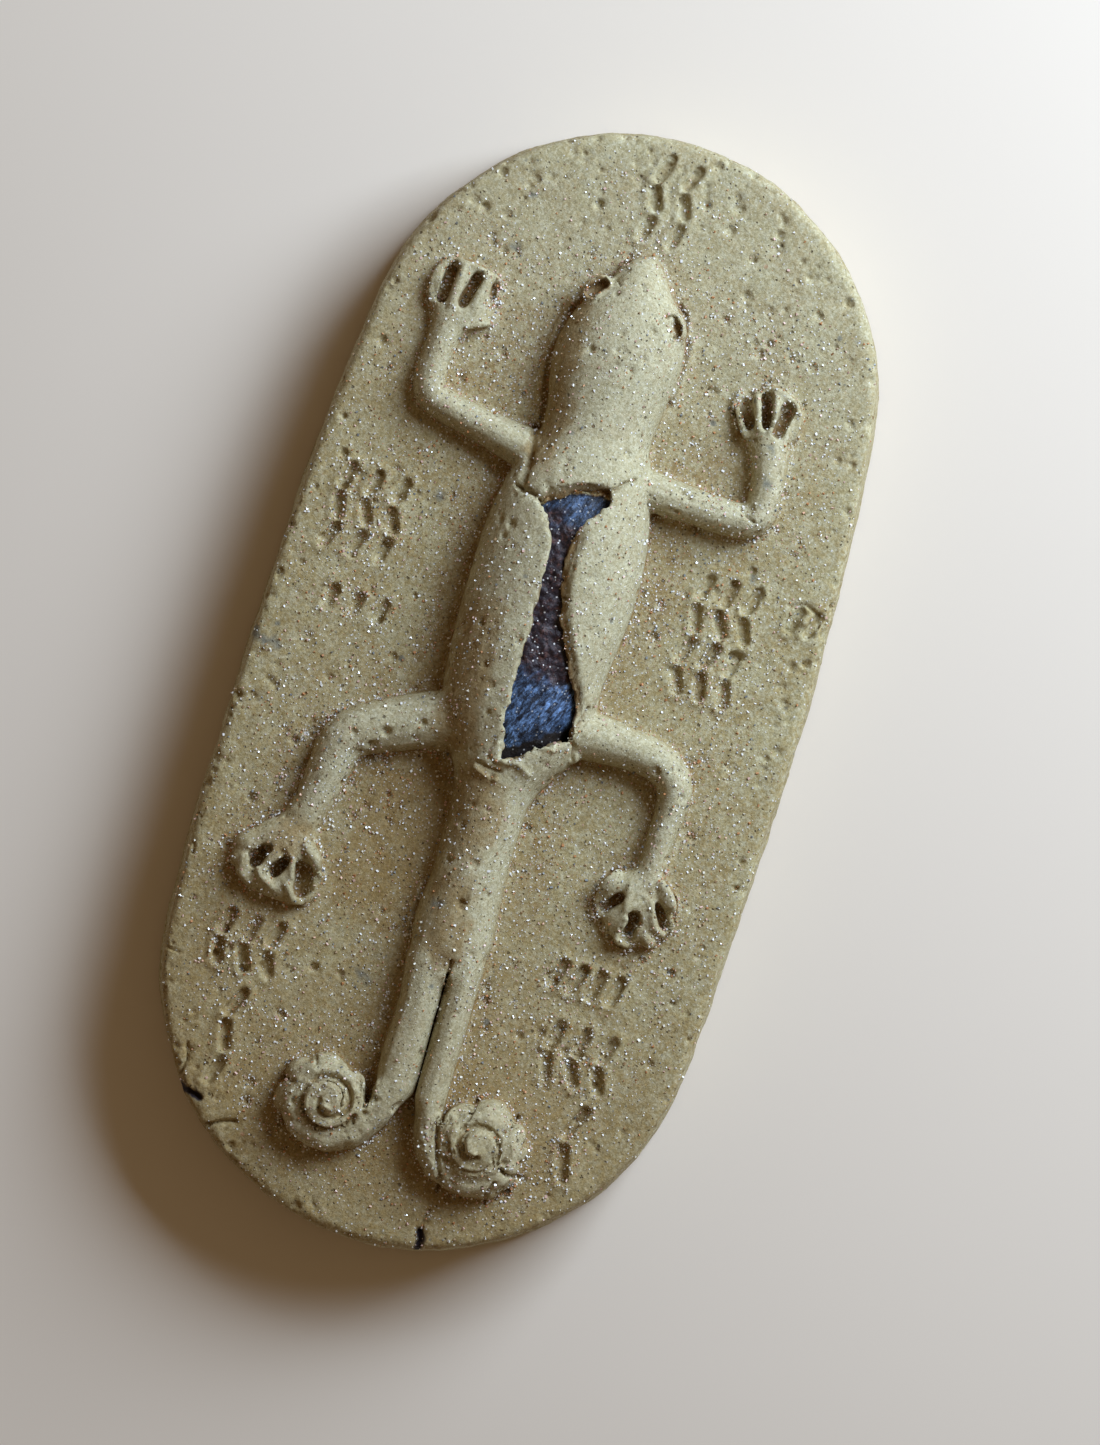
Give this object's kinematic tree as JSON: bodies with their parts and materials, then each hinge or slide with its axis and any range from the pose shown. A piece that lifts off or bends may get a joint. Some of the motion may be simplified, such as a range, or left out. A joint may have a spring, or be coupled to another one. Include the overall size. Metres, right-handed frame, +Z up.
{
  "type": "gecko amulet",
  "caption": "Oval pressed-clay plaque with a two-tailed gecko in high relief, its back split open over a dark inner core; it lies on its flat back.",
  "frame": {"origin": "centre of the bounding box, on the flat underside that the plaque lies on", "axes": "+Y from the tails towards the gecko's head, +Z up out of the carved face"},
  "size_m": [0.0242, 0.05, 0.008],
  "materials": {
    "sandy_clay": "matte, gritty, with glinting sand grains",
    "dark_core": "rough satin with a blue sheen and fine glints"
  },
  "bodies": {
    "root": {"amulet": "sandy_clay", "dark_core": "dark_core"}
  },
  "joints": []
}
